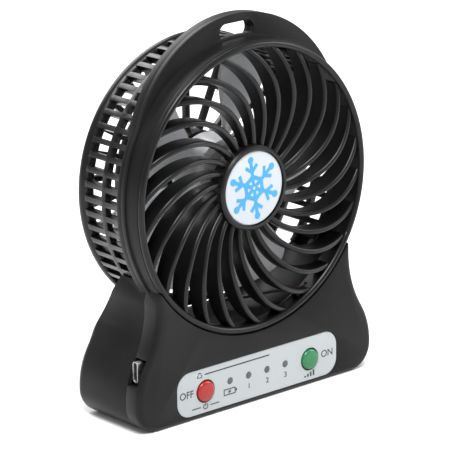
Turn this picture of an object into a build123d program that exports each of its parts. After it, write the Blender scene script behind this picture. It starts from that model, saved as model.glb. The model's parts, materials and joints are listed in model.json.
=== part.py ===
from build123d import *

import os
from math import cos, radians, sin, sqrt

# Small rechargeable desk fan, built as an assembly of separate pieces.
# Frame: millimetres, +Z up, +X to the right as seen from the front, +Y to the back.
# The origin is on the table, midway between the grille and the rear cage. Depths go backwards
# from the plane of the grille's lip, which is also the plane of the base's front face.

os.makedirs("parts", exist_ok=True)

# ---- driving dimensions, mm ----
base_depth = 34.8          # front face to back wall of the base
lip_y = -18.35             # the lip plane
ring_z = 77.3              # height of the fan's axis
wall = 2.0                 # housing wall

lip_radius = 50.3          # crest circle of the lip
lip_half_width = 1.2
bore_radius = 50.0         # front opening of the frame
bezel_radius = 51.6        # outside of the raised bezel at its front
shoulder_radius = 52.6     # outside of the frame behind the bezel
lip_seat_depth = 1.8       # where the bezel starts behind the lip

part_depth_low = 6.4       # parting plane at the table
part_tilt = 2.0            # the parting plane leans back by this, degrees
shoulder_gap = 1.8         # the bezel's shoulder is this far in front of the parting plane

half_width = 54.4          # base, at its widest
half_width_height = 9.7
flare_angle = 31.9         # steepest lean of the flared sides, degrees
flare_upper_radius = 39.75
flare_lower_radius = 27.1
foot_radius = 9.2
front_edge_radius = 2.0

arch_centre_z = 90.5
arch_radius = 47.0
arch_thickness = 5.0
slot_z = 131.4
slot_width = 15.6
slot_height = 6.2

label_half_width = 37.1
label_low = 1.9
label_high = 18.0
label_corner = 5.7
label_thickness = 0.6
label_recess = 0.8
button_x = 24.3
button_z = 9.6
button_radius = 3.8
button_travel = 0.6
led_z = 10.6
led_first_x = -13.05
led_pitch = 8.56
led_radius = 1.25

board_depth = 6.6          # front face of the control board
board_thickness = 1.6
socket_z = 21.6
socket_height = 7.5
socket_thickness = 2.6

fin_count = 26
fin_width = 1.9
disc_radius = 13.25

blade_count = 5
blade_first = 66.0         # clockwise from the top, seen from the front
blade_wrap = 52.0
blade_tip_radius = 44.0
blade_front = 14.5
blade_back = 28.5
blade_thickness = 1.3
impeller_hub_radius = 15.0

slat_count = 60
slat_width = 2.0
slat_reach = 21            # slats on each side of the top one
cage_back = 37.8

motor_radius = 12.2
motor_front = 20.5
motor_back = 33.0
shaft_radius = 1.0

cell_radius = 9.2
cell_length = 65.0
cell_depth = 20.6
cell_z = 12.0
door_half_width = 36.0

# ---- planes ----
fan_axis = Axis((0, lip_y, ring_z), (0, 1, 0))


def front_plane(depth, height=0.0):
    """Plane parallel to the lip plane; its x is +X, its y is +Z, its normal is forwards."""
    return Plane(origin=(0, lip_y + depth, height), x_dir=(1, 0, 0), z_dir=(0, -1, 0))


# profiles turned about the fan's axis: x is the depth, y is the radius
turn_plane = Plane(origin=(0, lip_y, ring_z), x_dir=(0, 1, 0), z_dir=(1, 0, 0))
# side profiles of the base: x is the depth, y is the height
side_plane = Plane(origin=(0, lip_y, 0), x_dir=(0, 1, 0), z_dir=(1, 0, 0))
# the parting plane leans back and faces forwards
parting = Plane(
    origin=(0, lip_y + part_depth_low, 0),
    x_dir=(1, 0, 0),
    z_dir=(0, -cos(radians(part_tilt)), sin(radians(part_tilt))),
)


def parting_depth(height):
    return part_depth_low + height * sin(radians(part_tilt)) / cos(radians(part_tilt))


def polar(radius, degrees):
    """Point at an angle counted clockwise from the top, seen from the front."""
    return (radius * sin(radians(degrees)), radius * cos(radians(degrees)))


def save(piece, name):
    piece.part.label = name
    export_step(piece.part, "parts/" + name + ".step")
    print(name, round(piece.part.volume, 1))


# ---- outline of the base, seen from the front ----
def base_outline(inset):
    """Waisted outline of the base, closed across the ring and pulled in by the inset."""
    lean = radians(flare_angle)
    foot = foot_radius - inset
    side = half_width - inset
    lower = flare_lower_radius - inset
    upper = flare_upper_radius + inset
    flare = (side - lower * (1 - cos(lean)), half_width_height + lower * sin(lean))
    waist = (flare[0] - upper * (1 - cos(lean)), flare[1] + upper * sin(lean))
    with BuildSketch(Plane.XY) as outline:
        with BuildLine():
            Line((0, inset), (side - foot, inset))
            RadiusArc((side - foot, inset), (side, inset + foot), -foot)
            Line((side, inset + foot), (side, half_width_height))
            RadiusArc((side, half_width_height), flare, -lower)
            RadiusArc(flare, waist, upper)
            Polyline(waist, (waist[0] - 2.5, waist[1] + 8), (0, waist[1] + 8), (0, inset))
        make_face()
        mirror(about=Plane.YZ)
    return outline.sketch


def base_body(inset, front, back_inset, back_rounding):
    """Solid inside of the base outline and its side profile, from a depth to the back wall."""
    back = base_depth - back_inset
    low = back_inset
    slope_low = (back, 26)
    slope_high = (22 - back_inset, 51)
    with BuildPart() as body:
        with BuildSketch(front_plane(front)):
            add(base_outline(inset))
        extrude(amount=front - back)
        back_edges = body.faces().sort_by(Axis.Y)[-1].edges()
        fillet(back_edges.filter_by(lambda edge: edge.center().Z < ring_z - 32), back_rounding)
        with BuildSketch(side_plane):
            with BuildLine():
                Line((-5, low), (back - 6, low))
                RadiusArc((back - 6, low), (back, low + 6), -6)
                Polyline((back, low + 6), slope_low, slope_high, (18 - back_inset, 60), (-5, 60), (-5, low))
            make_face()
        extrude(amount=half_width + 5, both=True, mode=Mode.INTERSECT)
    return body.part


def arch_slab(depth_offset, thickness):
    """Hanging arch over the ring, parallel to the parting plane, with its slot."""
    slab_plane = parting.offset(depth_offset)
    with BuildPart() as slab:
        with BuildSketch(slab_plane):
            with Locations((0, arch_centre_z)):
                Circle(arch_radius)
            with Locations((0, ring_z)):
                Circle(shoulder_radius - 1, mode=Mode.SUBTRACT)
            with Locations((0, 40)):
                Rectangle(140, 80, mode=Mode.SUBTRACT)
            with Locations((0, slot_z)):
                SlotOverall(slot_width, slot_height, mode=Mode.SUBTRACT)
        extrude(amount=-thickness)
    return slab.part


def turned(points):
    """Ring turned about the fan's axis from (depth, radius) corners."""
    with BuildPart() as ring:
        with BuildSketch(turn_plane):
            with BuildLine():
                Polyline(*points, close=True)
            make_face()
        revolve(axis=fan_axis)
    return ring.part



# ---- front frame: bezel ring, base front and the front half of the arch ----
post_places = [(-46.0, 8.8), (46.0, 8.8), (-39.6, 36.0), (39.6, 36.0)]
post_radius = 2.9
screw_radius = 1.2
screw_seat = 16.0          # depth of the screw heads' seats
wire_hole_x = 24.5
wire_hole_depth = 5.2

with BuildPart() as ring_space:
    with BuildSketch(front_plane(0, ring_z)):
        Circle(shoulder_radius)
    extrude(amount=-(base_depth + 5))

with BuildPart() as base_hollow:
    add(base_body(wall, wall, wall, 2))
    add(ring_space.part, mode=Mode.SUBTRACT)

with BuildPart() as shoulder:
    add(turned([(2, bore_radius), (2, shoulder_radius), (16, shoulder_radius), (16, bore_radius)]))
    split(bisect_by=parting.offset(shoulder_gap), keep=Keep.BOTTOM)

with BuildPart() as front_frame:
    add(base_body(0, 0, 0, 4))
    front_edges = front_frame.faces().sort_by(Axis.Y)[0].edges()
    fillet(front_edges.filter_by(lambda edge: edge.center().Z < ring_z - 32), front_edge_radius)
    add(base_hollow.part, mode=Mode.SUBTRACT)
    # seat of the lip and the through bore
    with BuildSketch(front_plane(-1, ring_z)):
        Circle(lip_radius + lip_half_width + 0.35)
    extrude(amount=-(lip_seat_depth + 1), mode=Mode.SUBTRACT)
    with BuildSketch(front_plane(0, ring_z)):
        Circle(bore_radius)
    extrude(amount=-(base_depth + 5), mode=Mode.SUBTRACT)
    # raised bezel with its shoulder, and the arch
    bezel_corners = [
        (lip_seat_depth, bore_radius),
        (lip_seat_depth, bezel_radius - 0.3),
        (lip_seat_depth + 0.3, bezel_radius),
        (9, bezel_radius + 0.4),
        (16, bezel_radius + 0.4),
        (16, bore_radius),
    ]
    add(turned(bezel_corners))
    add(shoulder.part)
    add(arch_slab(shoulder_gap, shoulder_gap))
    # recess of the label, with the holes for buttons and lights
    with BuildSketch(front_plane(0)):
        with Locations((0, (label_low + label_high) / 2)):
            RectangleRounded(2 * label_half_width + 0.3, label_high - label_low + 0.3, label_corner)
    extrude(amount=-label_recess, mode=Mode.SUBTRACT)
    with BuildSketch(front_plane(0)):
        with Locations((-button_x, button_z), (button_x, button_z)):
            Circle(button_radius + 0.35)
        with Locations(*[(led_first_x + i * led_pitch, led_z) for i in range(4)]):
            Circle(led_radius + 0.1)
    extrude(amount=-(wall + 1), mode=Mode.SUBTRACT)
    # screw posts
    with BuildSketch(front_plane(wall - 0.2)):
        with Locations(*post_places):
            Circle(post_radius)
    extrude(amount=-12)
    with BuildSketch(front_plane(wall + 1)):
        with Locations(*post_places):
            Circle(screw_radius + 0.03)
    extrude(amount=-12, mode=Mode.SUBTRACT)
    # notch for the charge socket, open to the parting plane
    with BuildSketch(front_plane(1.8)):
        with Locations((2 - half_width, socket_z)):
            Rectangle(18, socket_height + 1.4)
    extrude(amount=-12, mode=Mode.SUBTRACT)
    # slot for the motor wires, from the bore down into the base
    with BuildSketch(Plane.XY.offset(28)):
        with Locations((wire_hole_x, lip_y + wire_hole_depth)):
            SlotOverall(4.6, 2.4)
    extrude(amount=9, mode=Mode.SUBTRACT)
    split(bisect_by=parting, keep=Keep.TOP)
save(front_frame, "front_frame")

# ---- rear shell: base back, rim behind the ring and the rear half of the arch ----
rear_bore = bore_radius + 0.2
rim_back = 12.2
bay_half_length = 38.2
bay_front = 10.6
bay_back = 30.6
bay_top = 21.8
bay_wall = 1.2
door_lip = 1.6             # the door's flanges run under lips this wide

with BuildPart() as duct_wall:
    add(turned([(2, rear_bore), (2, shoulder_radius), (40, shoulder_radius), (40, rear_bore)]))
    add(base_body(0, 0, 0, 4), mode=Mode.INTERSECT)

with BuildPart() as rear_hollow:
    add(base_body(wall, 0, wall, 2))
    add(ring_space.part, mode=Mode.SUBTRACT)
    # the walls that divide off the battery bay
    with BuildSketch(front_plane(bay_front - bay_wall)):
        with Locations((0, bay_top / 2)):
            Rectangle(2 * (bay_half_length + bay_wall), bay_top + 2 * bay_wall)
    extrude(amount=bay_front - bay_back - 2 * bay_wall, mode=Mode.SUBTRACT)
    # the floor over the door's runners
    with BuildSketch(front_plane(bay_front - bay_wall)):
        with Locations((0, 1)):
            Rectangle(2 * (bay_half_length + bay_wall), 4.4)
    extrude(amount=-40, mode=Mode.SUBTRACT)

with BuildPart() as rear_posts:
    with BuildSketch(front_plane(5)):
        with Locations(*post_places):
            Circle(post_radius + 0.9)
    extrude(amount=-40)
    add(base_body(0, 0, 0, 4), mode=Mode.INTERSECT)

with BuildPart() as rear_shell:
    add(base_body(0, 0, 0, 4))
    add(rear_hollow.part, mode=Mode.SUBTRACT)
    with BuildSketch(front_plane(bay_front)):
        with Locations((0, (bay_top + wall) / 2)):
            Rectangle(2 * bay_half_length, bay_top - wall)
    extrude(amount=bay_front - bay_back, mode=Mode.SUBTRACT)
    # holes for the battery wires
    with BuildSketch(front_plane(bay_front - bay_wall - 0.5)):
        with Locations((-37.25, 18.4), (37.25, 18.4)):
            Circle(0.7)
    extrude(amount=-2.5, mode=Mode.SUBTRACT)
    # T-shaped channel of the battery door, open to the back
    with BuildSketch(front_plane(bay_front)):
        with Locations((0, 0.5)):
            Rectangle(2 * (door_half_width - door_lip + 0.2), 3)
        with Locations((0, 1.55)):
            Rectangle(2 * (door_half_width + 0.2), 1.0)
    extrude(amount=-40, mode=Mode.SUBTRACT)
    add(rear_posts.part)
    add(duct_wall.part)
    rim_corners = [
        (2, rear_bore),
        (2, shoulder_radius),
        (rim_back - 1, shoulder_radius),
        (rim_back, shoulder_radius - 1),
        (rim_back, rear_bore),
    ]
    add(turned(rim_corners))
    add(arch_slab(0, arch_thickness - shoulder_gap))
    with BuildSketch(front_plane(-2, ring_z)):
        Circle(rear_bore)
    extrude(amount=-(base_depth + 10), mode=Mode.SUBTRACT)
    # screw holes with recessed heads
    with BuildSketch(front_plane(0)):
        with Locations(*post_places):
            Circle(screw_radius + 0.2)
    extrude(amount=-30, mode=Mode.SUBTRACT)
    with BuildSketch(front_plane(screw_seat)):
        with Locations(*post_places):
            Circle(2.6)
    extrude(amount=-30, mode=Mode.SUBTRACT)
    split(bisect_by=parting, keep=Keep.BOTTOM)
save(rear_shell, "rear_shell")

# ---- battery door: slides out of the back along the bottom ----
with BuildPart() as battery_door:
    with BuildSketch(front_plane(bay_front + 0.2)):
        with Locations((0, 0.7)):
            Rectangle(2 * (door_half_width - door_lip), 0.8)
        with Locations((0, 1.5)):
            Rectangle(2 * door_half_width, 0.8)
    extrude(amount=-(34 - bay_front))
    add(base_body(0, 0, 0, 4), mode=Mode.INTERSECT)
    # finger ribs on the outside
    with BuildSketch(Plane.XY.offset(0.3)):
        with GridLocations(0, 1.6, 1, 4):
            with Locations((0, 8)):
                Rectangle(18, 0.7)
    extrude(amount=0.35, mode=Mode.SUBTRACT)
save(battery_door, "battery_door")

# ---- front grille: lip ring, curved fins and hub ----
fin_root = 14.0
fin_sweep = 37.5
fin_tip = 49.6


def leftward(radius, degrees):
    """Point counted anticlockwise from the right, seen from the front."""
    return (radius * cos(radians(degrees)), radius * sin(radians(degrees)))


with BuildPart() as fin_envelope:
    with BuildSketch(turn_plane):
        with BuildLine():
            crest = Spline((2.7, 12), (1.9, 19), (0.6, 26), (-0.5, 32), (-1.0, 38), (-0.5, 43), (1.4, 49.8))
            Polyline(crest @ 1, (6.6, 49.8), (6.0, 30), (6.0, 12), crest @ 0)
        make_face()
    revolve(axis=fan_axis)

with BuildPart() as fin:
    with BuildSketch(front_plane(-3, ring_z)):
        with BuildLine() as fin_line:
            ThreePointArc(leftward(fin_root, 0), leftward(33, 16.3), leftward(fin_tip, fin_sweep))
        trace(line_width=fin_width)
    extrude(amount=-12)
    add(fin_envelope.part, mode=Mode.INTERSECT)
    crest_edges = fin.edges().filter_by(lambda edge: edge.length > 30).sort_by(Axis.Y)[:2]
    fillet(crest_edges, 0.8)

with BuildPart() as front_grille:
    # lip standing in its seat, with the skirt that plugs into the bore
    with BuildSketch(turn_plane):
        with Locations((lip_half_width, lip_radius)):
            Circle(lip_half_width)
        with Locations((2.4, lip_radius + 0.6)):
            Rectangle(1.8, 2, mode=Mode.SUBTRACT)
        with Locations((3.6, 49.5)):
            Rectangle(4.8, 0.8)
    revolve(axis=fan_axis)
    hub_corners = [
        (0.8, 13.4),
        (0.8, 14.4),
        (1.4, 15),
        (7, 15),
        (7, 13),
        (3.8, 13),
        (3.8, 0),
        (2.3, 0),
        (2.3, 13.4),
    ]
    add(turned(hub_corners))
    add([fin.part.rotate(fan_axis, index * 360 / fin_count) for index in range(fin_count)])
    # gap for the motor's wires
    with BuildSketch(Plane.XY.offset(30)):
        with Locations((wire_hole_x, lip_y + 5.6)):
            Rectangle(5.4, 3)
    extrude(amount=7.5, mode=Mode.SUBTRACT)
save(front_grille, "front_grille")

with BuildPart() as hub_disc:
    add(turned([(1.3, 0), (1.3, 12.8), (1.7, disc_radius), (2.3, disc_radius), (2.3, 0)]))
save(hub_disc, "hub_disc")

# ---- rear cage: slats round the side, spokes and motor cup at the back ----
slat_step = 360 / slat_count
rim_centre = (34.6, 47.2)
rim_thickness = 2.6
spoke_front = 35.8
spoke_ring_inner = 29.5
spoke_ring_outer = 32
cup_inner = 12.5
cup_outer = 14.5
cup_front = 30.2
cup_floor = 36.4

with BuildPart() as slat:
    with BuildSketch(turn_plane):
        with BuildLine():
            Line((12.4, 47.2), (12.4, 50))
            Line((12.4, 50), (31, 49.6))
            RadiusArc((31, 49.6), (cage_back, 42.8), 6.9)
            Line((cage_back, 42.8), (spoke_front, 42.8))
            RadiusArc((spoke_front, 42.8), (30.8, 46.8), -5.2)
            Line((30.8, 46.8), (12.4, 47.2))
        make_face()
    extrude(amount=slat_width / 2, both=True)

with BuildPart() as long_spoke:
    with BuildSketch(turn_plane):
        with Locations(((spoke_front + cage_back) / 2, 37)):
            Rectangle(cage_back - spoke_front, 13)
    extrude(amount=slat_width / 2, both=True)

with BuildPart() as short_spoke:
    with BuildSketch(turn_plane):
        with Locations(((spoke_front + cage_back) / 2, 22)):
            Rectangle(cage_back - spoke_front, 16)
    extrude(amount=slat_width / 2, both=True)

with BuildPart() as upper_wedge:
    with BuildSketch(front_plane(0, ring_z)):
        with BuildLine():
            Polyline(
                (0, 0),
                polar(90, 131),
                polar(90, 90),
                polar(128, 45),
                polar(128, -45),
                polar(90, -90),
                polar(90, -131),
                (0, 0),
            )
        make_face()
    extrude(amount=-30)

with BuildPart() as cage_hoops:
    with BuildSketch(turn_plane):
        with Locations((12.8, 48.95)):
            Rectangle(3.2, 2.3)
        with Locations((21.95, 48.6)):
            Rectangle(2.1, 2.4)
    revolve(axis=fan_axis)
    add(upper_wedge.part, mode=Mode.INTERSECT)

with BuildPart() as rear_cage:
    add(cage_hoops.part)
    with BuildSketch(turn_plane):
        with Locations(rim_centre):
            Circle(rim_thickness)
    revolve(axis=fan_axis)
    add([slat.part.rotate(fan_axis, index * slat_step) for index in range(-slat_reach, slat_reach + 1)])
    add([long_spoke.part.rotate(fan_axis, index * 2 * slat_step) for index in range(30)])
    add([short_spoke.part.rotate(fan_axis, index * 4 * slat_step) for index in range(15)])
    with BuildSketch(front_plane(spoke_front, ring_z)):
        Circle(spoke_ring_outer)
        Circle(spoke_ring_inner, mode=Mode.SUBTRACT)
    extrude(amount=spoke_front - cage_back)
    with BuildSketch(front_plane(cup_front, ring_z)):
        Circle(cup_outer)
        Circle(cup_inner, mode=Mode.SUBTRACT)
    extrude(amount=cup_front - cage_back)
    with BuildSketch(front_plane(cup_floor, ring_z)):
        Circle(cup_outer)
        Circle(7, mode=Mode.SUBTRACT)
    extrude(amount=cup_floor - cage_back)
    # notch for the motor's wires
    with BuildSketch(front_plane(34, ring_z)):
        with Locations((0, -14)):
            Rectangle(6, 6)
    extrude(amount=34 - spoke_front - 0.2, mode=Mode.SUBTRACT)
save(rear_cage, "rear_cage")

# ---- motor ----
cap_back = motor_back + 1.2
wire_radius = 0.55

with BuildPart() as motor_can:
    can_corners = [
        (19.5, shaft_radius + 0.05),
        (19.5, 3),
        (motor_front, 3),
        (motor_front, motor_radius - 1),
        (motor_front + 1, motor_radius),
        (motor_back, motor_radius),
        (motor_back, shaft_radius + 0.05),
    ]
    add(turned(can_corners))
save(motor_can, "motor_can")

with BuildPart() as motor_cap:
    add(turned([(motor_back, 0), (motor_back, motor_radius), (cap_back, motor_radius - 0.8), (cap_back, 0)]))
save(motor_cap, "motor_cap")

with BuildPart() as motor_terminals:
    with BuildSketch(front_plane(cap_back, 70)):
        with Locations((-0.9, 0), (0.9, 0)):
            Rectangle(0.9, 1.8)
    extrude(amount=-0.45)
save(motor_terminals, "motor_terminals")

with BuildPart() as motor_shaft:
    add(turned([(11.6, 0), (12, shaft_radius), (motor_back - 0.3, shaft_radius), (motor_back - 0.3, 0)]))
save(motor_shaft, "motor_shaft")

# ---- impeller: five twisted blades on a hub cup ----
blade_turn = blade_wrap / (blade_back - blade_front)     # degrees for each mm of depth
blade_sections = 9
blade_corner = 8


def blade_half(radius):
    """Half the blade's width round the axis that leaves its thickness even."""
    lean = radians(blade_turn) * radius
    return blade_thickness / 2 * sqrt(1 + lean * lean)


with BuildPart() as blade_sweep:
    for index in range(blade_sections):
        depth = blade_front - 1 + (blade_back - blade_front + 2) * index / (blade_sections - 1)
        angle = blade_first + blade_turn * (depth - blade_front)
        radial = (sin(radians(angle)), 0, cos(radians(angle)))
        with BuildSketch(Plane(origin=(0, lip_y + depth, ring_z), x_dir=radial, z_dir=(0, -1, 0))):
            with BuildLine():
                Polyline(
                    (12, -blade_half(12)),
                    (46, -blade_half(46)),
                    (46, blade_half(46)),
                    (12, blade_half(12)),
                    (12, -blade_half(12)),
                )
            make_face()
    loft()

with BuildPart() as blade:
    with BuildSketch(front_plane(10, ring_z)) as blade_plan:
        Circle(blade_tip_radius)
        Circle(14.2, mode=Mode.SUBTRACT)
        with BuildLine():
            Polyline(
                (0, 0),
                polar(70, blade_first),
                polar(90, blade_first + blade_wrap / 2),
                polar(70, blade_first + blade_wrap),
                (0, 0),
            )
        make_face(mode=Mode.INTERSECT)
        tip_corners = blade_plan.vertices().sort_by_distance((0, lip_y + 10, ring_z))[2:]
        fillet(tip_corners, blade_corner)
    extrude(amount=-22)
    add(blade_sweep.part, mode=Mode.INTERSECT)

with BuildPart() as impeller:
    cup_corners = [
        (14, shaft_radius),
        (14, impeller_hub_radius - 1.5),
        (15.5, impeller_hub_radius),
        (27, impeller_hub_radius),
        (27, impeller_hub_radius - 1.5),
        (15.5, impeller_hub_radius - 1.5),
        (15.5, 3),
        (19, 3),
        (19, shaft_radius),
    ]
    add(turned(cup_corners))
    add([blade.part.rotate(fan_axis, index * 360 / blade_count) for index in range(blade_count)])
save(impeller, "impeller")

# ---- label panel with its buttons and lights ----
label_middle = (label_low + label_high) / 2
button_flange = 4.7
flange_front = 2.1
flange_back = 2.7
switch_floor = 6.4         # bottom of the hole the plunger sinks into
board_back = board_depth + board_thickness

with BuildPart() as label_panel:
    with BuildSketch(front_plane(label_recess - label_thickness)):
        with Locations((0, label_middle)):
            RectangleRounded(2 * label_half_width, label_high - label_low, label_corner)
        with Locations((-button_x, button_z), (button_x, button_z)):
            Circle(button_radius + 0.4, mode=Mode.SUBTRACT)
        with Locations((0, led_z)):
            with Locations(*[(led_first_x + led_pitch * index, 0) for index in range(4)]):
                Circle(led_radius + 0.05, mode=Mode.SUBTRACT)
    extrude(amount=-label_thickness)
save(label_panel, "label_panel")

for index in range(4):
    with BuildPart() as led_lens:
        with BuildSketch(front_plane(0.1, led_z)):
            with Locations((led_first_x + led_pitch * index, 0)):
                Circle(led_radius)
        extrude(amount=-(board_depth - 0.9))
        front_edge = led_lens.edges().sort_by(Axis.Y)[0]
        fillet(front_edge, 0.3)
    save(led_lens, f"led_lens_{index + 1}")

with BuildPart() as led_chips:
    with BuildSketch(front_plane(board_depth - 0.7, led_z)):
        for index in range(4):
            with Locations((led_first_x + led_pitch * index, 0)):
                Rectangle(1.6, 1.2)
    extrude(amount=-0.7)
save(led_chips, "led_chips")

for side, name in ((-1, "off"), (1, "on")):
    with BuildPart() as button:
        with BuildSketch(front_plane(-0.8, button_z)):
            with Locations((side * button_x, 0)):
                Circle(button_radius)
        extrude(amount=-(flange_back + 0.8))
        rim_edge = button.edges().sort_by(Axis.Y)[0]
        fillet(rim_edge, 0.6)
        with BuildSketch(front_plane(flange_front, button_z)):
            with Locations((side * button_x, 0)):
                Circle(button_flange)
        extrude(amount=flange_front - flange_back)
    save(button, f"{name}_button")

    with BuildPart() as plunger:
        with BuildSketch(front_plane(flange_back, button_z)):
            with Locations((side * button_x, 0)):
                Circle(1.7)
        extrude(amount=flange_back - switch_floor + button_travel + 0.1)
    save(plunger, f"{name}_plunger")

    with BuildPart() as switch:
        with BuildSketch(front_plane(3.9, button_z)):
            with Locations((side * button_x, 0)):
                Rectangle(6, 6)
                Circle(1.78, mode=Mode.SUBTRACT)
        extrude(amount=3.9 - switch_floor)
        with BuildSketch(front_plane(switch_floor, button_z)):
            with Locations((side * button_x, 0)):
                Rectangle(6, 6)
        extrude(amount=switch_floor - board_depth)
    save(switch, f"{name}_switch")

# ---- control board with the charge socket ----
board_half_length = 41.8

with BuildPart() as control_board:
    with BuildSketch(front_plane(board_depth)):
        with Locations((0, 11.5)):
            Rectangle(2 * board_half_length, 16)
        with Locations((-43.5, 20.25)):
            Rectangle(11, 12.5)
    extrude(amount=-board_thickness)
    add(base_body(wall + 0.3, 0, wall, 2), mode=Mode.INTERSECT)
save(control_board, "control_board")

with BuildPart() as charge_socket:
    with BuildSketch(Plane.YZ.offset(-51.2)):
        with Locations((lip_y + board_depth - socket_thickness / 2, socket_z)):
            RectangleRounded(socket_thickness, socket_height, 1.1)
            RectangleRounded(socket_thickness - 0.6, socket_height - 0.6, 0.8, mode=Mode.SUBTRACT)
    extrude(amount=5.2)
    with BuildSketch(Plane.YZ.offset(-46.6)):
        with Locations((lip_y + board_depth - socket_thickness / 2, socket_z)):
            RectangleRounded(socket_thickness, socket_height, 1.1)
    extrude(amount=0.6)
save(charge_socket, "charge_socket")

with BuildPart() as charge_contacts:
    with BuildSketch(Plane.YZ.offset(-50.6)):
        with Locations((lip_y + board_depth - socket_thickness / 2, socket_z)):
            Rectangle(0.7, 5)
    extrude(amount=4)
save(charge_contacts, "charge_contacts")

# ---- battery and its contacts ----
cell_minus_end = -30.2
cell_plus_end = cell_minus_end + cell_length
plate_thickness = 0.4
plate_face = bay_half_length - plate_thickness


def across_plane(x):
    """Plane square to X, looking along +X: sketch x = depth, y = height."""
    return Plane(origin=(x, lip_y, 0), x_dir=(0, 1, 0), z_dir=(1, 0, 0))


with BuildPart() as battery_cell:
    with BuildSketch(across_plane(cell_minus_end)):
        with Locations((cell_depth, cell_z)):
            Circle(cell_radius)
    extrude(amount=cell_length)
    plus_edge = battery_cell.edges().sort_by(Axis.X)[-1]
    fillet(plus_edge, 0.8)
    with BuildSketch(across_plane(cell_plus_end)):
        with Locations((cell_depth, cell_z)):
            Circle(2.8)
    extrude(amount=1.4)
save(battery_cell, "battery_cell")

with BuildPart() as battery_contact_plus:
    with BuildSketch(across_plane(plate_face)):
        with Locations((cell_depth - 1.5, cell_z)):
            Rectangle(15, 15)
    extrude(amount=plate_thickness)
    with BuildSketch(across_plane(plate_face)):
        with Locations((cell_depth, cell_z)):
            Circle(2)
    extrude(amount=cell_plus_end + 1.4 - plate_face)
save(battery_contact_plus, "battery_contact_plus")

with BuildPart() as battery_contact_minus:
    with BuildSketch(across_plane(-bay_half_length)):
        with Locations((cell_depth - 1.5, cell_z)):
            Rectangle(15, 15)
    extrude(amount=plate_thickness)
save(battery_contact_minus, "battery_contact_minus")

with BuildPart() as battery_spring:
    with BuildLine() as coil:
        Helix(
            pitch=1.7,
            height=cell_minus_end + plate_face - 0.9,
            radius=4.6,
            center=(-plate_face + 0.45, lip_y + cell_depth, cell_z),
            direction=(1, 0, 0),
        )
    with BuildSketch(Plane(origin=coil.line @ 0, z_dir=coil.line % 0)):
        Circle(0.4)
    sweep(is_frenet=True)
save(battery_spring, "battery_spring")

# ---- wires: centre lines as (x, depth, height) ----
def wire(points, bends, name):
    """Round wire along a bent line."""
    places = [(x, lip_y + depth, z) for x, depth, z in points]
    with BuildPart() as cord:
        with BuildLine() as path:
            if bends:
                FilletPolyline(*places, radius=bends)
            else:
                Line(*places)
        with BuildSketch(Plane(origin=path.line @ 0, z_dir=path.line % 0)):
            Circle(wire_radius)
        sweep()
    save(cord, name)
    length = sum(edge.length for edge in path.edges())
    print(name, "length", round(length, 1), "volume over length", round(cord.part.volume / length, 4))


motor_wire_bends = [3, 2.5, 4, 5, 3, 1.8, 1.2]
for name, side, shift in (("motor_wire_red", 0.9, 0), ("motor_wire_black", -0.9, -1.4)):
    bend_points = [
        (side, 35.2, 70.6),
        (side, 35.2, 37),
        (1.5 + shift, 29.8, 31.6),
        (5 + shift, 25, 30.2),
        (12 + shift, 19, 31.3),
        (19 + shift, 12, 33.6),
        (wire_hole_x - 0.75 + 1.5 * (side > 0), wire_hole_depth, 34.9),
        (wire_hole_x - 0.75 + 1.5 * (side > 0), wire_hole_depth, 17),
        (wire_hole_x - 0.75 + 1.5 * (side > 0), board_depth, 17),
    ]
    wire(bend_points, motor_wire_bends, name)

for name, side in (("battery_wire_red", 1), ("battery_wire_black", -1)):
    wire_x = side * (plate_face - wire_radius)
    wire([(wire_x, board_back, 18.4), (wire_x, 13, 18.4)], None, name)

# ---- housing screws, driven from the back ----
with BuildPart() as housing_screws:
    with BuildSketch(front_plane(3.6)):
        with Locations(*post_places):
            Circle(screw_radius)
    extrude(amount=3.6 - screw_seat)
    with BuildSketch(front_plane(screw_seat)):
        with Locations(*post_places):
            Circle(2.3)
    extrude(amount=-1.8)
    with BuildSketch(front_plane(screw_seat + 0.9)):
        with Locations(*post_places):
            Rectangle(2.6, 0.6)
            Rectangle(0.6, 2.6)
    extrude(amount=-1.2, mode=Mode.SUBTRACT)
save(housing_screws, "housing_screws")
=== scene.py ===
import json
import math
import bpy
from mathutils import Matrix, Vector

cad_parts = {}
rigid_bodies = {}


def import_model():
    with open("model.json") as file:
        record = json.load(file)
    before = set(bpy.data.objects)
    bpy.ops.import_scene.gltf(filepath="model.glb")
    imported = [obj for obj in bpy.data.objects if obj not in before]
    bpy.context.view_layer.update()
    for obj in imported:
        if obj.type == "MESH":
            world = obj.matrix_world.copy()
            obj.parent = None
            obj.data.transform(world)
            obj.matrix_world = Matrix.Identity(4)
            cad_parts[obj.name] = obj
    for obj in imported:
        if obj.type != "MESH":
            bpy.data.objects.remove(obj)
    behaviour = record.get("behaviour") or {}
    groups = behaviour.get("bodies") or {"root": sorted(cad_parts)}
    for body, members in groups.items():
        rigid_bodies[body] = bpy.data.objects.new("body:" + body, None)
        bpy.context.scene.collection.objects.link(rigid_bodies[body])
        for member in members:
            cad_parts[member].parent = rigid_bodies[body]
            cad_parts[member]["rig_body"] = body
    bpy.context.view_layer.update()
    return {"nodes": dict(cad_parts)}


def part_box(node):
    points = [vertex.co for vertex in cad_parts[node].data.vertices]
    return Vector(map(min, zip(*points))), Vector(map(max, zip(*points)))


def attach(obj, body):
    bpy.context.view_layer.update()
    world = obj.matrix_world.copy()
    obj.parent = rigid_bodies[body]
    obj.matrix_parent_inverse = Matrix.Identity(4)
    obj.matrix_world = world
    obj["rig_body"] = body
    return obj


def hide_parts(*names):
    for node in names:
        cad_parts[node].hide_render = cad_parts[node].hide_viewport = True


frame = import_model()
mm = 0.001
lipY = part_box("front_frame")[0].y    # depth of the front frame's lip

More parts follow.
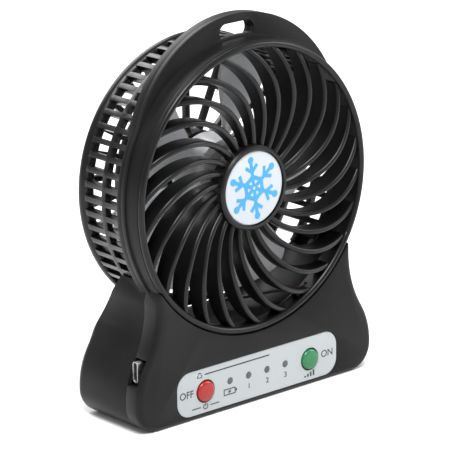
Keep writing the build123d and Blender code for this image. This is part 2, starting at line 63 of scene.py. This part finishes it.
# the camera
view = {"place": (-0.697, lipY - 0.79065, 0.385), "aim": (-0.0025, lipY + 0.01395, 0.0618), "lens": 256,
        "roll": -0.85, "sensor": 36, "nearest": 0.05}
bpy.ops.object.camera_add(location=view["place"])
camera = bpy.context.object
camera.data.lens = view["lens"]
camera.data.sensor_width = view["sensor"]
camera.data.clip_start = view["nearest"]
look = (Vector(view["aim"]) - Vector(view["place"])).to_track_quat("-Z", "Y").to_matrix().to_4x4()
roll = Matrix.Rotation(math.radians(view["roll"]), 4, "Z")
camera.matrix_world = Matrix.Translation(view["place"]) @ look @ roll
bpy.context.scene.camera = camera
bpy.context.scene.view_settings.view_transform = "Standard"
print("camera ready")


# one output socket of a node, on which + - * make Math nodes
class Wire:
    def __init__(self, finish, socket):
        self.finish = finish
        self.socket = socket

    def join(self, operation, other, flip=False):
        ends = (other, self) if flip else (self, other)
        return self.finish.node("ShaderNodeMath", {"operation": operation}, {0: ends[0], 1: ends[1]})

    def __add__(self, other):
        return self.join("ADD", other)

    def __radd__(self, other):
        return self.join("ADD", other, True)

    def __sub__(self, other):
        return self.join("SUBTRACT", other)

    def __rsub__(self, other):
        return self.join("SUBTRACT", other, True)

    def __mul__(self, other):
        return self.join("MULTIPLY", other)

    def __rmul__(self, other):
        return self.join("MULTIPLY", other, True)


# a material and the nodes that shape it
class Finish:
    def __init__(self, name):
        self.material = bpy.data.materials.new(name)
        self.material.use_nodes = True
        self.tree = self.material.node_tree
        self.shader = self.tree.nodes["Principled BSDF"]

    def node(self, kind, settings=None, inputs=None, output=0):
        made = self.tree.nodes.new(kind)
        for key, value in (settings or {}).items():
            if key == "stops":
                for stop in range(len(value)):
                    elements = made.color_ramp.elements
                    element = elements[stop] if stop < 2 else elements.new(value[stop][0])
                    element.position = value[stop][0]
                    element.color = value[stop][1]
            else:
                setattr(made, key, value)
        for key, value in (inputs or {}).items():
            if isinstance(value, Wire):
                self.tree.links.new(value.socket, made.inputs[key])
            else:
                made.inputs[key].default_value = value
        return Wire(self, made.outputs[output])

    def place(self, scale=(1, 1, 1)):
        spot = self.node("ShaderNodeTexCoord", output="Object")
        return self.node("ShaderNodeMapping", {}, {"Vector": spot, "Scale": scale})

    def noise(self, scale, detail=2.0, stretch=(1, 1, 1)):
        inputs = {"Vector": self.place(stretch), "Scale": scale, "Detail": detail}
        return self.node("ShaderNodeTexNoise", {}, inputs)

    def ramp(self, value, stops):
        return self.node("ShaderNodeValToRGB", {"stops": stops}, {"Fac": value})

    def bump(self, height, strength, distance):
        return self.node("ShaderNodeBump", {}, {"Height": height, "Strength": strength, "Distance": distance})

    def set(self, **values):
        for key, value in values.items():
            socket = self.shader.inputs[key.replace("_", " ")]
            if isinstance(value, Wire):
                self.tree.links.new(value.socket, socket)
            else:
                socket.default_value = value
        return self.material


def grey(value):
    return (value, value, value, 1)


# moulded plastic with a fine grain and a cloudy sheen
def mouldedPlastic(name, look):
    finish = Finish(name)
    cloud = finish.noise(look["cloudScale"], 3)
    grain = finish.noise(look["grainScale"], 2)
    dark, light = look["colours"]
    colour = finish.ramp(cloud, [(0.35, (*dark, 1)), (0.7, (*light, 1))])
    rough = look["roughness"] + (cloud - 0.5) * look["roughnessSpread"]
    return finish.set(Base_Color=colour, Roughness=rough, IOR=1.5, Specular_IOR_Level=look["specular"],
                      Normal=finish.bump(grain, look["grainStrength"], look["grainDepth"]))


# brushed or plated metal, its streaks drawn out along one axis
def metal(name, look):
    finish = Finish(name)
    streak = finish.noise(look["scale"], 3, look["stretch"])
    dark, light = look["colours"]
    colour = finish.ramp(streak, [(0.3, (*dark, 1)), (0.7, (*light, 1))])
    return finish.set(Base_Color=colour, Metallic=1.0, Roughness=look["roughness"] + (streak - 0.5) * 0.15,
                      Normal=finish.bump(streak, 0.05, 0.0001))


housingPlastic = mouldedPlastic("housingPlastic", {
    "colours": ((0.005, 0.005, 0.0053), (0.0085, 0.0085, 0.0088)), "cloudScale": 45,
    "grainScale": 2600, "roughness": 0.38, "roughnessSpread": 0.16, "specular": 0.15,
    "grainStrength": 0.12, "grainDepth": 0.00004
})
guardPlastic = mouldedPlastic("guardPlastic", {
    "colours": ((0.003, 0.003, 0.0032), (0.0055, 0.0055, 0.0058)), "cloudScale": 60,
    "grainScale": 2200, "roughness": 0.3, "roughnessSpread": 0.1, "specular": 0.25,
    "grainStrength": 0.06, "grainDepth": 0.00003
})
labelFilm = mouldedPlastic("labelFilm", {
    "colours": ((0.335, 0.357, 0.368), (0.36, 0.38, 0.39)), "cloudScale": 30, "grainScale": 3500,
    "roughness": 0.42, "roughnessSpread": 0.06, "specular": 0.4, "grainStrength": 0.05,
    "grainDepth": 0.00003
})
redPlastic = mouldedPlastic("redPlastic", {
    "colours": ((0.27, 0.010, 0.008), (0.30, 0.014, 0.010)), "cloudScale": 90, "grainScale": 2500,
    "roughness": 0.24, "roughnessSpread": 0.08, "specular": 0.5, "grainStrength": 0.05,
    "grainDepth": 0.00002
})
greenPlastic = mouldedPlastic("greenPlastic", {
    "colours": ((0.009, 0.135, 0.045), (0.013, 0.16, 0.057)), "cloudScale": 90, "grainScale": 2500,
    "roughness": 0.24, "roughnessSpread": 0.08, "specular": 0.5, "grainStrength": 0.05,
    "grainDepth": 0.00002
})
lensPlastic = mouldedPlastic("lensPlastic", {
    "colours": ((0.055, 0.06, 0.065), (0.075, 0.08, 0.085)), "cloudScale": 200, "grainScale": 3000,
    "roughness": 0.2, "roughnessSpread": 0.06, "specular": 0.5, "grainStrength": 0.03,
    "grainDepth": 0.00002
})
discPlastic = mouldedPlastic("discPlastic", {
    "colours": ((0.39, 0.43, 0.47), (0.43, 0.46, 0.495)), "cloudScale": 40, "grainScale": 2500,
    "roughness": 0.25, "roughnessSpread": 0.06, "specular": 0.5, "grainStrength": 0.03,
    "grainDepth": 0.00002
})
cyanPrint = mouldedPlastic("cyanPrint", {
    "colours": ((0.02, 0.235, 0.47), (0.028, 0.27, 0.5)), "cloudScale": 90, "grainScale": 2500,
    "roughness": 0.3, "roughnessSpread": 0.06, "specular": 0.45, "grainStrength": 0.03,
    "grainDepth": 0.00002
})
blackPrint = mouldedPlastic("blackPrint", {
    "colours": ((0.02, 0.02, 0.022), (0.03, 0.03, 0.032)), "cloudScale": 90, "grainScale": 2500,
    "roughness": 0.5, "roughnessSpread": 0.1, "specular": 0.3, "grainStrength": 0.05,
    "grainDepth": 0.00002
})
bladePlastic = mouldedPlastic("bladePlastic", {
    "colours": ((0.78, 0.8, 0.83), (0.86, 0.87, 0.89)), "cloudScale": 25, "grainScale": 2000,
    "roughness": 0.32, "roughnessSpread": 0.08, "specular": 0.5, "grainStrength": 0.04,
    "grainDepth": 0.00003
})
bladePlastic.node_tree.nodes["Principled BSDF"].inputs["Transmission Weight"].default_value = 0.08
boardGreen = mouldedPlastic("boardGreen", {
    "colours": ((0.012, 0.12, 0.045), (0.02, 0.17, 0.06)), "cloudScale": 300, "grainScale": 1500,
    "roughness": 0.35, "roughnessSpread": 0.1, "specular": 0.5, "grainStrength": 0.1,
    "grainDepth": 0.00003
})
cellWrap = mouldedPlastic("cellWrap", {
    "colours": ((0.03, 0.12, 0.36), (0.045, 0.16, 0.44)), "cloudScale": 60, "grainScale": 900,
    "roughness": 0.28, "roughnessSpread": 0.1, "specular": 0.5, "grainStrength": 0.1,
    "grainDepth": 0.00005
})
capPlastic = mouldedPlastic("capPlastic", {
    "colours": ((0.6, 0.59, 0.55), (0.68, 0.67, 0.63)), "cloudScale": 80, "grainScale": 1800,
    "roughness": 0.5, "roughnessSpread": 0.1, "specular": 0.4, "grainStrength": 0.08,
    "grainDepth": 0.00003
})
chipResin = mouldedPlastic("chipResin", {
    "colours": ((0.7, 0.62, 0.25), (0.8, 0.72, 0.35)), "cloudScale": 400, "grainScale": 2500,
    "roughness": 0.25, "roughnessSpread": 0.06, "specular": 0.5, "grainStrength": 0.05,
    "grainDepth": 0.00002
})
redSheath = mouldedPlastic("redSheath", {
    "colours": ((0.5, 0.018, 0.014), (0.58, 0.025, 0.02)), "cloudScale": 300, "grainScale": 1500,
    "roughness": 0.35, "roughnessSpread": 0.1, "specular": 0.45, "grainStrength": 0.08,
    "grainDepth": 0.00003
})
blackSheath = mouldedPlastic("blackSheath", {
    "colours": ((0.012, 0.012, 0.012), (0.02, 0.02, 0.02)), "cloudScale": 300, "grainScale": 1500,
    "roughness": 0.4, "roughnessSpread": 0.1, "specular": 0.45, "grainStrength": 0.08,
    "grainDepth": 0.00003
})
steel = metal("steel", {
    "colours": ((0.42, 0.42, 0.43), (0.58, 0.58, 0.59)), "scale": 900, "stretch": (1, 0.05, 1),
    "roughness": 0.34
})
nickel = metal("nickel", {
    "colours": ((0.62, 0.6, 0.55), (0.74, 0.72, 0.68)), "scale": 600, "stretch": (1, 1, 0.2),
    "roughness": 0.25
})
brass = metal("brass", {
    "colours": ((0.62, 0.43, 0.16), (0.78, 0.57, 0.25)), "scale": 900, "stretch": (1, 1, 1),
    "roughness": 0.3
})
print("finishes ready")

# every node of the frame gets its finish
nodeFinish = {
    "front_frame": housingPlastic, "rear_shell": housingPlastic, "battery_door": housingPlastic,
    "rear_cage": guardPlastic, "front_grille": guardPlastic, "hub_disc": discPlastic,
    "impeller": bladePlastic, "motor_shaft": steel, "motor_can": steel, "motor_cap": capPlastic,
    "motor_terminals": brass, "label_panel": labelFilm, "off_button": redPlastic,
    "on_button": greenPlastic, "off_plunger": blackPrint, "on_plunger": blackPrint,
    "off_switch": steel, "on_switch": steel, "led_lens_1": lensPlastic, "led_lens_2": lensPlastic,
    "led_lens_3": lensPlastic, "led_lens_4": lensPlastic, "led_chips": chipResin,
    "control_board": boardGreen, "charge_socket": steel, "charge_contacts": blackPrint,
    "battery_cell": cellWrap, "battery_contact_plus": nickel, "battery_contact_minus": nickel,
    "battery_spring": nickel, "motor_wire_red": redSheath, "motor_wire_black": blackSheath,
    "battery_wire_red": redSheath, "battery_wire_black": blackSheath, "housing_screws": steel,
}
for nodeName, finish in nodeFinish.items():
    nodeObject = frame["nodes"][nodeName]
    nodeObject.data.materials.clear()
    nodeObject.data.materials.append(finish)


mergeWithin = 0.000004    # metres between corners that count as one
flatWithin = 0.6          # degrees between faces that count as one


# selects these pieces alone, the first one active
def selectOnly(*objects):
    bpy.ops.object.select_all(action="DESELECT")
    for one in objects:
        one.select_set(True)
    bpy.context.view_layer.objects.active = objects[0]


# a copy of a node's mesh with its edges rounded and its curves smoothed
def refine(nodeName, pieceName, shaping):
    source = frame["nodes"][nodeName]
    piece = bpy.data.objects.new(pieceName, source.data.copy())
    bpy.context.scene.collection.objects.link(piece)
    for key in list(piece.keys()):
        del piece[key]
    selectOnly(piece)
    bpy.ops.object.mode_set(mode="EDIT")
    bpy.ops.mesh.select_all(action="SELECT")
    bpy.ops.mesh.remove_doubles(threshold=mergeWithin)
    bpy.ops.mesh.customdata_custom_splitnormals_clear()
    bpy.ops.mesh.dissolve_limited(angle_limit=math.radians(flatWithin))
    bpy.ops.object.mode_set(mode="OBJECT")
    if shaping.get("bevel"):
        rounding = piece.modifiers.new("rounding", "BEVEL")
        rounding.width = shaping["bevel"] * mm
        rounding.segments = shaping.get("segments", 2)
        rounding.limit_method = "ANGLE"
        rounding.angle_limit = math.radians(shaping.get("angle", 40))
        rounding.use_clamp_overlap = True
        rounding.harden_normals = False
        bpy.ops.object.modifier_apply(modifier="rounding")
    bpy.ops.object.shade_smooth_by_angle(angle=math.radians(shaping.get("smooth", 32)))
    piece.data.materials.clear()
    piece.data.materials.append(nodeFinish[nodeName])
    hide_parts(nodeName)
    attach(piece, source["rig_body"])


# bevel widths in millimetres; angle is the least turn of an edge that is rounded
shapings = {
    "front_frame": ("frontFrame", {"bevel": 0.35, "segments": 2}),
    "rear_shell": ("rearShell", {"bevel": 0.35, "segments": 2}),
    "rear_cage": ("rearCage", {"bevel": 0.4, "segments": 2, "angle": 50}),
    "front_grille": ("frontGuard", {"bevel": 0.2, "segments": 1, "angle": 50}),
    "impeller": ("impellerBlades", {"bevel": 0.3, "segments": 2, "angle": 50}),
    "battery_door": ("batteryDoor", {"bevel": 0.15, "segments": 2}),
    "motor_can": ("motorCan", {"bevel": 0.25, "segments": 2}),
    "control_board": ("controlBoard", {"bevel": 0.1, "segments": 1}),
    "charge_socket": ("chargeSocket", {"bevel": 0.08, "segments": 2}),
    "battery_cell": ("batteryCell", {"bevel": 0.25, "segments": 2}),
    "housing_screws": ("housingScrews", {"bevel": 0.12, "segments": 2}),
}
for nodeName, (pieceName, shaping) in shapings.items():
    refine(nodeName, pieceName, shaping)
print("CAD pieces refined")


# a point from its distance across, its depth behind the lip and its height, all in millimetres
def place(x, depth, height):
    return Vector((x * mm, lipY + depth * mm, height * mm))


# a closed loop of vertices at the points, left in edit mode
def outlined(points):
    bpy.ops.object.select_all(action="DESELECT")
    bpy.ops.mesh.primitive_circle_add(vertices=len(points), radius=0.01, fill_type="NOTHING",
                                      location=(0, 0, 0))
    piece = bpy.context.object
    for vertex, point in zip(piece.data.vertices, points):
        vertex.co = point
    bpy.ops.object.mode_set(mode="EDIT")
    bpy.ops.mesh.select_all(action="SELECT")
    return piece


# a (depth, radius) profile spun round an axis that points backwards
def spun(name, profile, steps, centre, smooth=35):
    piece = outlined([place(centre[0], depth, centre[1] + radius) for depth, radius in profile])
    bpy.ops.mesh.spin(steps=steps, angle=2 * math.pi, center=place(centre[0], 0, centre[1]), axis=(0, 1, 0))
    bpy.ops.mesh.select_all(action="SELECT")
    bpy.ops.mesh.remove_doubles(threshold=0.000003)
    bpy.ops.mesh.normals_make_consistent(inside=False)
    bpy.ops.object.mode_set(mode="OBJECT")
    bpy.ops.object.shade_smooth_by_angle(angle=math.radians(smooth))
    piece.name = name
    return piece


# a thin flat shape of (x, height) points on a front face
def printed(points, front, thickness):
    piece = outlined([place(x, front, height) for x, height in points])
    bpy.ops.mesh.edge_face_add()
    bpy.ops.mesh.extrude_region_move(TRANSFORM_OT_translate={"value": (0, thickness * mm, 0)})
    bpy.ops.mesh.select_all(action="SELECT")
    bpy.ops.mesh.normals_make_consistent(inside=False)
    bpy.ops.object.mode_set(mode="OBJECT")
    return piece


# a straight printed stroke from one (x, height) point to another
def bar(start, end, width, front, thickness):
    run = Vector((end[0] - start[0], end[1] - start[1])).normalized()
    side = Vector((-run.y, run.x)) * width / 2
    corners = [(start[0] + side.x, start[1] + side.y), (start[0] - side.x, start[1] - side.y),
               (end[0] - side.x, end[1] - side.y), (end[0] + side.x, end[1] + side.y)]
    return printed(corners, front, thickness)


# a printed arc, its angles in degrees clockwise from the top
def arc(centre, radius, first, last, width, front, thickness, steps=24):
    turns = [math.radians(first + (last - first) * step / steps) for step in range(steps + 1)]
    outer, inner = ([(centre[0] + reach * math.sin(turn), centre[1] + reach * math.cos(turn))
                     for turn in turns]
                    for reach in (radius + width / 2, radius - width / 2))
    return printed(outer + inner[::-1], front, thickness)


capitalShare = 0.69      # height of a capital as a share of the type's size
letterSwell = 0.00002    # metres added all round each stroke of a letter


# plain capitals or figures as a thin mesh
def lettering(words, middle, height, front, thickness):
    bpy.ops.object.select_all(action="DESELECT")
    bpy.ops.object.text_add(location=(0, 0, 0))
    text = bpy.context.object
    text.data.body = words
    text.data.align_x = "CENTER"
    text.data.align_y = "CENTER"
    text.data.size = height * mm / capitalShare
    text.data.extrude = thickness * mm / 2
    text.data.offset = letterSwell
    bpy.ops.object.convert(target="MESH")
    text = bpy.context.object
    text.data.transform(Matrix.Translation(place(middle[0], front + thickness / 2, middle[1]))
                        @ Matrix.Rotation(math.radians(90), 4, "X"))
    return text


# joins the parts of one piece and gives it its finish and its body
def joined(name, pieces, finish, body, replaced=()):
    selectOnly(*pieces)
    if len(pieces) > 1:
        bpy.ops.object.join()
    piece = bpy.context.view_layer.objects.active
    piece.name = name
    piece.data.materials.clear()
    piece.data.materials.append(finish)
    if replaced:
        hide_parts(*replaced)
    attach(piece, body)
    return piece


# buttons: domed caps with a soft rim
button = {"x": 24.3, "height": 9.6, "radius": 3.7, "rise": 0.95, "lift": 0.1, "fullness": 0.42,
          "skirt": 2.1, "flange": 4.7, "back": 2.7}
domeProfile = []
for angle in (0, 1.5, 4, 8, 14, 22, 32, 44, 58, 74, 90):
    turn = math.radians(angle)
    domeProfile.append((button["lift"] - button["rise"] * math.cos(turn),
                        button["radius"] * math.sin(turn) ** button["fullness"]))
capProfile = domeProfile + [(button["skirt"], button["radius"]), (button["skirt"], button["flange"]),
                            (button["back"], button["flange"]), (button["back"], 0)]
for side, name, finish, colour in ((-1, "off", redPlastic, "red"), (1, "on", greenPlastic, "green")):
    cap = spun(name + "ButtonCap", capProfile, 64, (side * button["x"], button["height"]), 50)
    joined(name + "ButtonCap", [cap], finish, name + "_key", [name + "_button"])

# light lenses: short rods with domed ends
lens = {"first": -13.05, "pitch": 8.56, "height": 10.6, "radius": 1.25, "shoulder": 0.32, "rise": 0.24,
        "back": 5.8}
lensProfile = [(lens["shoulder"] - lens["rise"] * math.cos(math.radians(angle)),
                lens["radius"] * math.sin(math.radians(angle))) for angle in range(0, 91, 15)]
lensProfile += [(lens["back"], lens["radius"]), (lens["back"], 0)]
for index in range(4):
    rod = spun(f"lightLens{index + 1}", lensProfile, 32,
               (lens["first"] + lens["pitch"] * index, lens["height"]), 40)
    joined(f"lightLens{index + 1}", [rod], lensPlastic, "housing", [f"led_lens_{index + 1}"])
print("buttons and lenses ready")

# print on the label: words, figures and plain signs; each is one layer nearer than the one before,
# so that no two faces lie in one plane
ink = {"front": 0.15, "thickness": 0.06, "stroke": 0.32, "layer": 0.002}
labelSigns = {
    "words": {"OFF": (-32.9, 9.85), "ON": (32.6, 9.9)}, "wordHeight": 2.5,
    "figureHeight": 1.9, "figureLevel": 6.6, "figureShift": 0.1,
    "ruleEnds": ((-24.6, 15.75), (5.2, 15.75)), "ruleWidth": 0.42,
    "propeller": (-26.9, 15.75), "bladeReach": 0.62, "bladeRadius": 0.45, "bladeWidth": 0.3,
    "bladeTurn": 110, "bladeSteps": 14,
    "stop": (-24.4, 4.15), "stopRadius": 0.95, "stopGap": 35, "stopStroke": (0.05, 1.25),
    "dashes": ((-30.6, -26.6), (-22.2, -18.2)),
    "battery": {"left": -15.9, "right": -10.9, "low": 5.8, "high": 7.8, "nub": (-10.3, 6.3, 7.3),
                "nubWidth": 0.5},
    "flash": ((-13.0, 7.5), (-14.3, 6.65), (-13.55, 6.65), (-13.9, 6.05), (-12.5, 6.95), (-13.25, 6.95)),
    "bars": {"first": 22.0, "pitch": 1.35, "foot": 3.2, "top": 3.75, "step": 0.5, "width": 0.7, "count": 4},
}


def inkBar(start, end, width=ink["stroke"]):
    return bar(start, end, width, ink["front"], ink["thickness"])


def inkArc(centre, radius, first, last, width=ink["stroke"], steps=24):
    return arc(centre, radius, first, last, width, ink["front"], ink["thickness"], steps)


# a small propeller of three curved blades
def propellerSign(look):
    blades = []
    for turn in (0, 120, 240):
        centre = (look["propeller"][0] + look["bladeReach"] * math.sin(math.radians(turn)),
                  look["propeller"][1] + look["bladeReach"] * math.cos(math.radians(turn)))
        blades.append(inkArc(centre, look["bladeRadius"], turn - look["bladeTurn"], turn + look["bladeTurn"],
                             look["bladeWidth"], look["bladeSteps"]))
    return blades


# a broken ring with a stroke through its gap, and a dash on each side
def stopSign(look):
    x, height = look["stop"]
    parts = [inkArc(look["stop"], look["stopRadius"], look["stopGap"], 360 - look["stopGap"]),
             inkBar(*[(x, height + rise) for rise in look["stopStroke"]])]
    return parts + [inkBar((left, height), (right, height)) for left, right in look["dashes"]]


# a battery's outline and its nub, with a flash inside
def batterySign(look):
    cell, half = look["battery"], ink["stroke"] / 2
    parts = [inkBar((x, cell["low"]), (x, cell["high"])) for x in (cell["left"], cell["right"])]
    for level in (cell["low"], cell["high"]):
        parts.append(inkBar((cell["left"] - half, level), (cell["right"] + half, level)))
    nubX, nubLow, nubHigh = cell["nub"]
    parts.append(inkBar((nubX, nubLow), (nubX, nubHigh), cell["nubWidth"]))
    parts.append(printed(look["flash"], ink["front"], ink["thickness"]))
    return parts


# bars that rise from left to right
def barsSign(look):
    step = look["bars"]
    places = [step["first"] + step["pitch"] * index for index in range(step["count"])]
    return [inkBar((x, step["foot"]), (x, step["top"] + step["step"] * index), step["width"])
            for index, x in enumerate(places)]


# moves each printed stroke forwards by one more layer than the last
def layered(pieces, layer):
    for index, piece in enumerate(pieces):
        piece.data.transform(Matrix.Translation((0, -layer * mm * index, 0)))
    return pieces


signs = [lettering(word, middle, labelSigns["wordHeight"], ink["front"], ink["thickness"])
         for word, middle in labelSigns["words"].items()]
for index, figure in enumerate("123"):
    figureX = lens["first"] + lens["pitch"] * (index + 1) + labelSigns["figureShift"]
    signs.append(lettering(figure, (figureX, labelSigns["figureLevel"]), labelSigns["figureHeight"],
                           ink["front"], ink["thickness"]))
signs.append(inkBar(*labelSigns["ruleEnds"], labelSigns["ruleWidth"]))
signs += propellerSign(labelSigns) + stopSign(labelSigns) + batterySign(labelSigns) + barsSign(labelSigns)
layered(signs, ink["layer"])
joined("labelPrint", signs, blackPrint, "housing")
print("label print ready")

# snowflake on the hub disc: six arms with a dot at the tip, and two pairs of twigs on each
flake = {"front": 1.24, "thickness": 0.2, "layer": 0.0022, "height": 77.3, "lean": -8, "arms": 6,
         "start": 0.6, "arm": 10.2, "width": 1.35, "tip": 1.25, "tipCorners": 16,
         "outerTwig": (5.8, 8.1, 2.6), "outerShare": 0.92, "innerTwig": (4.3, 2.55, 2.55)}


# a point so far along an arm and so far to one side of it
def flakePoint(heading, distance, aside=0.0):
    return (distance * math.sin(heading) + aside * math.cos(heading),
            flake["height"] + distance * math.cos(heading) - aside * math.sin(heading))


# a round dot at the end of an arm
def flakeTip(end):
    turns = [2 * math.pi * corner / flake["tipCorners"] for corner in range(flake["tipCorners"])]
    outline = [(end[0] + flake["tip"] * math.sin(turn), end[1] + flake["tip"] * math.cos(turn))
               for turn in turns]
    return printed(outline, flake["front"], flake["thickness"])


strokes = []
for turn in range(flake["arms"]):
    heading = math.radians(flake["lean"] + turn * 360 / flake["arms"])
    end = flakePoint(heading, flake["arm"])
    strokes.append(bar(flakePoint(heading, flake["start"]), end, flake["width"], flake["front"],
                       flake["thickness"]))
    for side in (-1, 1):
        for twig, share in (("outerTwig", flake["outerShare"]), ("innerTwig", 1)):
            foot, reach, spread = flake[twig]
            strokes.append(bar(flakePoint(heading, foot), flakePoint(heading, reach, side * spread),
                               flake["width"] * share, flake["front"], flake["thickness"]))
    strokes.append(flakeTip(end))
layered(strokes, flake["layer"])
joined("snowflakePrint", strokes, cyanPrint, "housing")
print("snowflake ready")

# floor and lights
studio = {"floorSize": 6, "floorGreys": (0.86, 0.88), "floorRoughness": 0.8, "worldStrength": 0.62,
          "lightsAim": (0, 0, 0.07)}
bpy.ops.mesh.primitive_plane_add(size=studio["floorSize"], location=(0, 0, 0))
floor = bpy.context.object
floor.name = "floor"
floorFinish = Finish("floorPaper")
floorCloud = floorFinish.noise(2, 2)
floorDark, floorLight = studio["floorGreys"]
floorColour = floorFinish.ramp(floorCloud, [(0.3, grey(floorDark)), (0.7, grey(floorLight))])
floor.data.materials.append(floorFinish.set(Base_Color=floorColour, Roughness=studio["floorRoughness"]))
world = bpy.data.worlds.new("studio")
bpy.context.scene.world = world
world.use_nodes = True
world.node_tree.nodes["Background"].inputs["Color"].default_value = (1, 1, 1, 1)
world.node_tree.nodes["Background"].inputs["Strength"].default_value = studio["worldStrength"]
lights = {
    "key": {"place": (-0.35, -0.45, 1.0), "size": 0.45, "power": 16},
    "fill": {"place": (0.8, -0.5, 0.5), "size": 0.5, "power": 5},
    "back": {"place": (0.1, 0.9, 0.9), "size": 0.9, "power": 14},
}
for lightName, lamp in lights.items():
    bpy.ops.object.light_add(type="AREA", location=lamp["place"])
    light = bpy.context.object
    light.name = lightName
    light.data.size = lamp["size"]
    light.data.energy = lamp["power"]
    beam = Vector(studio["lightsAim"]) - Vector(lamp["place"])
    light.rotation_euler = beam.to_track_quat("-Z", "Y").to_euler()
print("lights ready")
